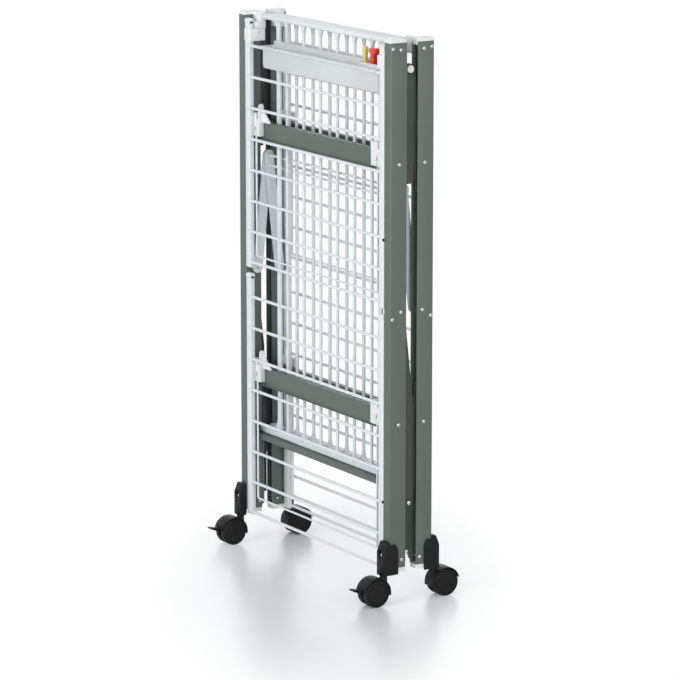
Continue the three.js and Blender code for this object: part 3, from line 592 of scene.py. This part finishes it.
def wingParts(level):
    place = jointPlaces[f"front_{level}_wing_hinge"]
    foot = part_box(f"front_{level}_wing")[0].z - wing[level]["longer"]
    firstZ, lastZ = place.z - wing[level]["first"], foot + wing[level]["last"]
    front, back = place.y - wing["thick"] / 2, place.y + wing["thick"] / 2
    far = innerX - wing["inset"]
    near = far - wing["stile"]
    stile = roundedOutline(front, foot, back, place.z, wing["corner"], wing["cornerSteps"])
    knuckle = discProfile(wing["knuckle"], wing["stile"], wing["edge"])
    parts = []
    for side in sides.values():
        parts.append(extrudeOutline("x", stile, side * near, side * far, wing["edge"]))
        parts.append(revolveProfile(knuckle, (side * near, place.y, place.z), wing["knuckleSides"],
                                    "x", side))
    end = near + wing["stile"] / 2
    pitch = (lastZ - firstZ) / (wing["wires"] - 1)
    parts.append(rowOfBars(wing["wires"], (-end, front + wing["wireSunk"], firstZ), (0, 0, pitch),
                           (2 * end, 0, 0), wing["wireRadius"]))
    return parts


for half in halves:
    for level in levels:
        finishPiece(f"{half}_{level}_wing_wires", wingParts(level), whiteCoat, f"{half}_{level}_wing_body",
                    [f"{half}_{level}_wing"], half)

# blocks round the front upper stiles that carry the tray
trayBracket = {"near": 218.25 * mm, "far": 239.25 * mm, "ahead": 1.5 * mm, "deep": 34 * mm, "top": 24 * mm,
               "bottom": 47 * mm, "corner": 2.2 * mm, "edge": 0.7 * mm,
               "grooveShares": (0.34, 0.51, 0.68), "grooveTall": 0.9 * mm, "grooveDeep": 0.6 * mm,
               "grooveNear": 3 * mm, "grooveFar": 4 * mm, "grooveCorner": 0.4 * mm, "grooveSteps": 3,
               "slotIn": 20.5 * mm, "slotUp": 15 * mm, "slotWide": 2.2 * mm, "slotTall": 6.4 * mm,
               "slotDeep": 3 * mm, "slotCorner": 1 * mm, "slotSteps": 4}


def trayBracketBlock(side):
    near, far = side * trayBracket["near"], side * trayBracket["far"]
    front = faceY - trayBracket["ahead"]
    top, bottom = topZ - trayBracket["top"], topZ - trayBracket["bottom"]
    around = roundedOutline(near, front, far, front + trayBracket["deep"], trayBracket["corner"])
    block = extrudeOutline("z", around, bottom, top, trayBracket["edge"])
    cutters = []
    start, stop = near + side * trayBracket["grooveNear"], far - side * trayBracket["grooveFar"]
    for share in trayBracket["grooveShares"]:
        z, rise = top - share * (top - bottom), trayBracket["grooveTall"] / 2
        groove = roundedOutline(start, z - rise, stop, z + rise, trayBracket["grooveCorner"],
                                trayBracket["grooveSteps"])
        cutters.append(extrudeOutline("y", groove, front - overrun, front + trayBracket["grooveDeep"]))
    slotY, slotZ = front + trayBracket["slotIn"], bottom + trayBracket["slotUp"]
    rise = trayBracket["slotTall"] / 2
    slot = roundedOutline(slotY, slotZ - rise, slotY + trayBracket["slotWide"], slotZ + rise,
                          trayBracket["slotCorner"], trayBracket["slotSteps"])
    cutters.append(extrudeOutline("x", slot, near - side * overrun, near + side * trayBracket["slotDeep"]))
    return cutOut(block, cutters)


finishPiece("front_tray_brackets", [trayBracketBlock(side) for side in sides.values()], whitePlastic,
            "front_upper_wing_body")

rubberStop = {"x": 238 * mm, "radius": 2.7 * mm, "proud": 0.9 * mm, "edge": 0.5 * mm, "long": 6 * mm,
              "tipShare": 0.75, "sides": 20, "drops": {"upper": 350 * mm, "lower": 827 * mm}}
stopProfile = [(0, 0), (rubberStop["radius"] * rubberStop["tipShare"], 0),
               (rubberStop["radius"], rubberStop["edge"]), (rubberStop["radius"], rubberStop["long"]),
               (0, rubberStop["long"])]
for half in halves:
    for level, drop in rubberStop["drops"].items():
        place = (rubberStop["x"], faceY - rubberStop["proud"], topZ - drop)
        stop = revolveProfile(stopProfile, place, rubberStop["sides"], "y")
        finishPiece(f"{half}_{level}_rubber_stop", [stop], stopRubber, f"{half}_{level}_wing_body",
                    (), half)
print("wings ready")


# props under the crossbars, with the right leg further in to suit the flipped catch

prop = {"radius": 2 * mm, "bend": 4.2 * mm, "stub": 11 * mm}
for half in halves:
    for level in levels:
        low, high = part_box(f"front_{level}_prop")
        y = (low.y + high.y) / 2
        top, foot = high.z - prop["radius"], low.z + prop["radius"]
        leg = high.x - prop["stub"]
        otherLeg = 2 * boxMiddle(f"front_right_{level}_catch").x - leg
        path = filletPath([(-high.x, y, top), (-leg, y, top), (-leg, y, foot), (otherLeg, y, foot),
                           (otherLeg, y, top), (otherLeg - prop["stub"], y, top)], prop["bend"])
        finishPiece(f"{half}_{level}_prop_wire", [sweepBar(path, prop["radius"])], whiteCoat,
                    f"{half}_frame", [f"{half}_{level}_prop"], half)
print("props ready")


# grilles

# a flare or an arch is its reach sideways and its height
grille = {"rods": 6, "pitch": 58.2 * mm, "rod": 3.2 * mm, "rodSunk": 2 * mm, "deep": 18 * mm,
          "topRail": 10 * mm, "topInset": 22.5 * mm, "topCorner": 3.4 * mm,
          "lowRail": 12 * mm, "lowDeep": 12 * mm, "lowCorner": 5.4 * mm, "railEdge": 1.2 * mm,
          "topFlare": (9 * mm, 15 * mm), "lowFlare": (5.6 * mm, 9 * mm), "flareSunk": 0.5 * mm,
          "flareDeep": 6 * mm, "flareCurve": 2.2, "flareSteps": 6, "neckShare": 0.9,
          "topArch": (23 * mm, 16.5 * mm), "lowArch": (20 * mm, 26 * mm), "archDeep": 5.4 * mm,
          "archSteps": 10, "edge": 0.8 * mm, "endBar": 11 * mm, "endStep": 29 * mm,
          "endDeep": 6 * mm, "endCorner": 1.4 * mm}


def flareOutline(x, z, way, wide, tall):
    points = []
    narrow = grille["rod"] * grille["neckShare"]
    shares = [i / grille["flareSteps"] for i in range(grille["flareSteps"] + 1)]
    for side, order in ((1, shares), (-1, shares[::-1])):
        for t in order:
            reach = narrow + (wide - narrow) * (1 - t) ** grille["flareCurve"]
            points.append((x + side * reach, z + way * tall * t))
    return points


def archOutline(side, foot, edge, way, wide, tall):
    root, inside = side * (foot - overrun), edge - way * overrun
    points = [(side * (foot + wide), inside), (root, inside), (root, edge + way * tall)]
    for i in range(1, grille["archSteps"] + 1):
        a = math.pi / 2 * i / grille["archSteps"]
        points.append((side * (foot + wide * (1 - math.cos(a))), edge + way * tall * (1 - math.sin(a))))
    return points


def grilleParts():
    low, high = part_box("front_grille")
    railLow = high.z - grille["topRail"]
    footTop = low.z + grille["lowRail"]
    back = high.y
    front = back - grille["deep"]
    midRod = (front + back) / 2
    span = grille["pitch"] * (grille["rods"] - 1)
    end = span / 2 + grille["endStep"]
    railEnd = innerX - grille["topInset"]
    rodLow, rodHigh = footTop - grille["rodSunk"], railLow + grille["rodSunk"]

    def plate(outline, deep, edge):
        return extrudeOutline("y", outline, midRod - deep / 2, midRod + deep / 2, edge)

    parts = [
        extrudeOutline("x", roundedOutline(front, railLow, back, high.z, grille["topCorner"]),
                       -railEnd, railEnd, grille["railEdge"]),
        plate(roundedOutline(low.x, low.z, high.x, footTop, grille["lowCorner"]), grille["lowDeep"],
              grille["railEdge"]),
        rowOfBars(grille["rods"], (-span / 2, midRod, rodLow), (grille["pitch"], 0, 0),
                  (0, 0, rodHigh - rodLow), grille["rod"])]
    for i in range(grille["rods"]):
        x = i * grille["pitch"] - span / 2
        for z, way, flare in ((railLow + grille["flareSunk"], -1, "topFlare"),
                              (footTop - grille["flareSunk"], 1, "lowFlare")):
            outline = flareOutline(x, z, way, *grille[flare])
            parts.append(plate(outline, grille["flareDeep"], grille["edge"]))
    for side in sides.values():
        bar = roundedOutline(side * end - grille["endBar"] / 2, midRod - grille["endDeep"] / 2,
                             side * end + grille["endBar"] / 2, midRod + grille["endDeep"] / 2,
                             grille["endCorner"])
        parts.append(extrudeOutline("z", bar, footTop - overrun, railLow + overrun))
        for z, way, arch in ((railLow, -1, "topArch"), (footTop, 1, "lowArch")):
            outline = archOutline(side, end + grille["endBar"] / 2, z, way, *grille[arch])
            parts.append(plate(outline, grille["archDeep"], grille["edge"]))
    return parts


for half in halves:
    finishPiece(f"{half}_rod_grille", grilleParts(), whiteCoat, f"{half}_frame",
                [f"{half}_grille"], half)
print("grilles ready")


# castors

# a wheel's outline: share of its radius, and step in from its inner or its outer side
castor = {"radius": 25 * mm, "width": 13 * mm, "gap": 6 * mm, "sides": 72, "axle": 3 * mm, "axleSides": 24,
          "innerShares": ((0.86, 0), (0.95, 0.5 * mm), (0.99, 1.8 * mm), (1, 3 * mm)),
          "outerShares": ((1, 3 * mm), (0.99, 1.8 * mm), (0.95, 0.5 * mm), (0.9, 0), (0.83, 0),
                          (0.81, 0.9 * mm), (0.79, 0.9 * mm), (0.77, 0.3 * mm), (0.3, 0.1 * mm),
                          (0.28, 0.6 * mm), (0, 0.6 * mm)),
          "hoodEdge": 0.5 * mm, "bracketEdge": 0.9 * mm, "pedalEdge": 0.4 * mm}


def wheelParts(centre):
    near, far = castor["gap"] / 2, castor["gap"] / 2 + castor["width"]
    profile = [(0, near)]
    profile += [(castor["radius"] * share, near + step) for share, step in castor["innerShares"]]
    profile += [(castor["radius"] * share, far - step) for share, step in castor["outerShares"]]
    wheels = [revolveProfile(profile, centre, castor["sides"], "x", way) for way in (-1, 1)]
    axle = turnedPin(castor["axle"], -near - overrun, near + overrun, centre, castor["axleSides"])
    return [*wheels, axle]


for half in halves:
    for hand in sides:
        wheels = f"{half}_{hand}_castor_wheels"
        finishPiece(f"{half}_{hand}_wheel_pair", wheelParts(boxMiddle(wheels)), blackPlastic,
                    f"{half}_{hand}_wheels", [wheels])
        bevelledCopy(f"{half}_{hand}_castor_hood", castor["hoodEdge"], blackPlastic)
        bevelledCopy(f"{half}_{hand}_castor_bracket", castor["bracketEdge"], blackPlastic)
        if half == "front":
            bevelledCopy(f"{half}_{hand}_brake_pedal", castor["pedalEdge"], blackPlastic)

screw = {"radius": 3.6 * mm, "height": 1.1 * mm, "drop": 24.05 * mm, "ahead": 10.25 * mm, "sides": 28,
         "rimShare": 0.5, "crownShare": 0.75, "slotWideShare": 0.22, "slotLongShare": 0.6,
         "slotFrom": 2 * mm, "slotFloor": 0.5 * mm}


def bracketScrew(hand):
    low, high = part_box(f"front_{hand}_castor_wheels")
    x, y = (low.x + high.x) / 2, faceY - screw["ahead"]
    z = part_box("front_right_castor_bracket")[1].z - screw["drop"]
    radius, tall = screw["radius"], screw["height"]
    profile = [(0, 0), (radius, 0), (radius, -screw["rimShare"] * tall),
               (radius * screw["crownShare"], -tall), (0, -tall)]
    head = revolveProfile(profile, (x, y, z), screw["sides"], "y")
    wide, long = radius * screw["slotWideShare"], radius * screw["slotLongShare"]
    slots = [extrudeOutline("y", rectangleOutline(x - a, z - b, x + a, z + b),
                            y - screw["slotFrom"], y - screw["slotFloor"])
             for a, b in ((long, wide), (wide, long))]
    return cutOut(head, slots)


for half in halves:
    finishPiece(f"{half}_bracket_screws", [bracketScrew(hand) for hand in sides], zincMetal,
                f"{half}_frame", (), half)
print("castors ready")


# moulded and folded pieces, with the real ones' soft edges

softEdges = {"cap": 0.6 * mm, "catch": 0.4 * mm, "link": 0.3 * mm, "crossbar": 0.35 * mm,
             "ledge": 0.3 * mm, "tray": 0.4 * mm, "peg": 1 * mm}
for half in halves:
    for hand in sides:
        bevelledCopy(f"{half}_{hand}_top_cap", softEdges["cap"], whitePlastic)
        flipped = (hand == "right") == (half == "front")
        for level in levels:
            bevelledCopy(f"{half}_{hand}_{level}_catch", softEdges["catch"], whitePlastic,
                         otherHand=flipped)
            # the links take the darker copy of the uprights' paint, painted shade for the gap they sit in
            bevelledCopy(f"{half}_{hand}_{level}_link", softEdges["link"], shadedLinkPaint)
    for level in levels:
        bevelledCopy(f"{half}_{level}_crossbar", softEdges["crossbar"], greyGreenPaint)
    bevelledCopy(f"{half}_links", softEdges["link"], whiteCoat)
    bevelledCopy(f"{half}_ledge_frame", softEdges["ledge"], greyGreenPaint)

# sleeves and heads at the links' centre joints
linkJoint = {"inset": 10 * mm, "sleeve": 6.8 * mm, "sleeveEdge": 0.8 * mm, "sleeveIn": 249 * mm,
             "sleeveOut": 255.8 * mm, "sleeveSides": 32, "head": 3.8 * mm, "headRim": 0.5 * mm,
             "headTall": 1.2 * mm, "crownShare": 0.7, "headSides": 24, "lowerHead": 255 * mm,
             "middleHead": 236 * mm}
jointHeights = {"upper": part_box("front_right_upper_link")[1].z - linkJoint["inset"],
                "lower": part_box("front_right_lower_link")[0].z + linkJoint["inset"],
                "middle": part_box("front_links")[1].z - linkJoint["inset"]}
sleeveProfile = discProfile(linkJoint["sleeve"], linkJoint["sleeveOut"] - linkJoint["sleeveIn"],
                            linkJoint["sleeveEdge"])
jointHeadProfile = [(0, 0), (linkJoint["head"], 0), (linkJoint["head"], linkJoint["headRim"]),
                    (linkJoint["head"] * linkJoint["crownShare"], linkJoint["headTall"]),
                    (0, linkJoint["headTall"])]


def jointPair(level, profile, near, steps):
    return [revolveProfile(profile, (side * near, midY, jointHeights[level]), steps, "x", side)
            for side in sides.values()]


finishPiece("upper_joint_sleeves",
            jointPair("upper", sleeveProfile, linkJoint["sleeveIn"], linkJoint["sleeveSides"]),
            whitePlastic, "front_upper_links")
finishPiece("lower_joint_heads",
            jointPair("lower", jointHeadProfile, linkJoint["lowerHead"], linkJoint["headSides"]),
            brightRivet, "front_lower_links")
finishPiece("middle_joint_heads",
            jointPair("middle", jointHeadProfile, linkJoint["middleHead"], linkJoint["headSides"]),
            brightRivet, "front_links_body")

# dark strips in the gap between the uprights, placed between the centre joints: painted shade, dark sheets
# put where the uprights' shade falls in the gap
shadeStrip = {"thick": 2 * mm, "sunk": 3 * mm, "reach": 4.5 * mm, "corner": 2.5 * mm, "edge": 0.5 * mm,
            "innerNear": 250 * mm, "outerNear": 256.4 * mm, "foot": 93 * mm, "underLower": 8 * mm,
            "overLower": 9 * mm, "overMiddle": 14 * mm, "underUpper": 9 * mm,
            "taperFrom": 376 * mm, "taperTo": 519 * mm}
shadeStripBack, shadeStripEdge = innerY - shadeStrip["sunk"], midY + shadeStrip["reach"]


def shadeStrips(name, outline, near):
    parts = [extrudeOutline("x", outline, side * near, side * (near + shadeStrip["thick"]), shadeStrip["edge"])
             for side in sides.values()]
    finishPiece(name, parts, shadedLinkPaint, "front_frame")


lowerShadeStrip = roundedOutline(shadeStripBack, shadeStrip["foot"], shadeStripEdge,
                            jointHeights["lower"] - shadeStrip["underLower"], shadeStrip["corner"])
upperShadeStrip = roundedOutline(shadeStripBack, jointHeights["middle"] + shadeStrip["overMiddle"], shadeStripEdge,
                            jointHeights["upper"] - shadeStrip["underUpper"], shadeStrip["corner"])
taperFoot = jointHeights["lower"] + shadeStrip["overLower"]
taperedShadeStrip = [(shadeStripBack, taperFoot), (shadeStripEdge, taperFoot), (shadeStripEdge, shadeStrip["taperFrom"]),
                (innerY, shadeStrip["taperTo"]), (shadeStripBack, shadeStrip["taperTo"])]
# the strips wear the darkened link paint, painted shade in the gap
shadeStrips("lower_gap_strips", lowerShadeStrip, shadeStrip["innerNear"])
shadeStrips("upper_gap_strips", upperShadeStrip, shadeStrip["outerNear"])
shadeStrips("tapered_gap_strips", taperedShadeStrip, shadeStrip["outerNear"])

bevelledCopy("peg_tray", softEdges["tray"], frostedPlastic)
bevelledCopy("yellow_peg", softEdges["peg"], yellowPlastic)
bevelledCopy("red_peg", softEdges["peg"], redPlastic)
print("moulded pieces ready")


# studio

# the patch is the part of the floor that keeps the shadow, and fades to white around it
studio = {"azimuth": 57.96, "elevation": 11.98, "distance": 6.563, "lens": 189.1, "sensor": 36, "clip": 200,
          "aim": (0.0088, 0.0185, 0.4347), "floor": 40.0, "floorColour": (0.83, 0.835, 0.832),
          "floorRough": 0.3, "floorShine": 0.36, "patchPlace": (0.07, -0.03, 0),
          "patchSize": (0.31, 0.76, 1), "patchFade": (0.45, 1.15),
          "air": (0.95, 0.97, 1.0), "airStrength": 0.62, "lampAim": (0, 0, 0.5)}
lamps = {
    "key lamp": {"place": (1.0, -4.2, 1.8), "size": 2.6, "power": 92},
    "side lamp": {"place": (4.4, -0.8, 1.7), "size": 2.2, "power": 56},
    "far lamp": {"place": (-3.0, 2.6, 2.0), "size": 2.4, "power": 26}}


def makeFloor():
    size = studio["floor"]
    mesh = bpy.data.meshes.new("floor")
    corners = [(-size, -size, 0), (size, -size, 0), (size, size, 0), (-size, size, 0)]
    mesh.from_pydata(corners, [], [(0, 1, 2, 3)])
    floor = addObject("floor", mesh)
    material, tree, shader = startMaterial("pale floor", studio["floorColour"], studio["floorRough"])
    shader.inputs["Specular IOR Level"].default_value = studio["floorShine"]
    glow = tree.nodes.new("ShaderNodeEmission")
    glow.inputs["Color"].default_value = (1, 1, 1, 1)
    path = tree.nodes.new("ShaderNodeLightPath")
    place = tree.nodes.new("ShaderNodeTexCoord")
    mapping = tree.nodes.new("ShaderNodeMapping")
    mapping.vector_type = "TEXTURE"
    mapping.inputs["Location"].default_value = studio["patchPlace"]
    mapping.inputs["Rotation"].default_value = (0, 0, math.radians(studio["azimuth"]))
    mapping.inputs["Scale"].default_value = studio["patchSize"]
    distance = tree.nodes.new("ShaderNodeVectorMath")
    distance.operation = "LENGTH"
    fade = tree.nodes.new("ShaderNodeMapRange")
    fade.interpolation_type = "SMOOTHSTEP"
    fade.inputs["From Min"].default_value = studio["patchFade"][0]
    fade.inputs["From Max"].default_value = studio["patchFade"][1]
    share = tree.nodes.new("ShaderNodeMath")
    share.operation = "MULTIPLY"
    mix = tree.nodes.new("ShaderNodeMixShader")
    tree.links.new(place.outputs["Object"], mapping.inputs["Vector"])
    tree.links.new(mapping.outputs["Vector"], distance.inputs[0])
    tree.links.new(distance.outputs["Value"], fade.inputs["Value"])
    tree.links.new(fade.outputs["Result"], share.inputs[1])
    tree.links.new(path.outputs["Is Camera Ray"], share.inputs[0])
    tree.links.new(share.outputs[0], mix.inputs[0])
    tree.links.new(shader.outputs[0], mix.inputs[1])
    tree.links.new(glow.outputs[0], mix.inputs[2])
    tree.links.new(mix.outputs[0], tree.nodes["Material Output"].inputs["Surface"])
    mesh.materials.append(material)


def makeWorld():
    world = bpy.data.worlds.new("studio air")
    bpy.context.scene.world = world
    world.use_nodes = True
    tree = world.node_tree
    tree.nodes.clear()
    light = tree.nodes.new("ShaderNodeBackground")
    light.inputs["Color"].default_value = (*studio["air"], 1)
    light.inputs["Strength"].default_value = studio["airStrength"]
    seen = tree.nodes.new("ShaderNodeBackground")
    seen.inputs["Color"].default_value = (1, 1, 1, 1)
    seen.inputs["Strength"].default_value = 1.0
    path = tree.nodes.new("ShaderNodeLightPath")
    first = tree.nodes.new("ShaderNodeMath")
    first.operation = "MAXIMUM"
    second = tree.nodes.new("ShaderNodeMath")
    second.operation = "MAXIMUM"
    mix = tree.nodes.new("ShaderNodeMixShader")
    out = tree.nodes.new("ShaderNodeOutputWorld")
    tree.links.new(path.outputs["Is Camera Ray"], first.inputs[0])
    tree.links.new(path.outputs["Is Glossy Ray"], first.inputs[1])
    tree.links.new(first.outputs[0], second.inputs[0])
    tree.links.new(path.outputs["Is Transmission Ray"], second.inputs[1])
    tree.links.new(second.outputs[0], mix.inputs[0])
    tree.links.new(light.outputs[0], mix.inputs[1])
    tree.links.new(seen.outputs[0], mix.inputs[2])
    tree.links.new(mix.outputs[0], out.inputs["Surface"])


def makeLamp(name, place, size, power):
    lamp = bpy.data.lights.new(name, "AREA")
    lamp.shape = "SQUARE"
    lamp.size = size
    lamp.energy = power
    holder = addObject(name, lamp)
    holder.location = place
    holder.rotation_euler = (Vector(studio["lampAim"]) - Vector(place)).to_track_quat("-Z", "Y").to_euler()


def makeCamera():
    a, e = math.radians(studio["azimuth"]), math.radians(studio["elevation"])
    back = Vector((math.sin(a) * math.cos(e), -math.cos(a) * math.cos(e), math.sin(e)))
    data = bpy.data.cameras.new("camera")
    data.sensor_width = studio["sensor"]
    data.lens = studio["lens"]
    data.clip_end = studio["clip"]
    camera = addObject("camera", data)
    camera.location = Vector(studio["aim"]) + back * studio["distance"]
    camera.rotation_euler = (-back).to_track_quat("-Z", "Y").to_euler()
    bpy.context.scene.camera = camera


makeFloor()
makeWorld()
for name, lamp in lamps.items():
    makeLamp(name, lamp["place"], lamp["size"], lamp["power"])
makeCamera()
bpy.context.scene.view_settings.view_transform = "Standard"
print("studio ready")
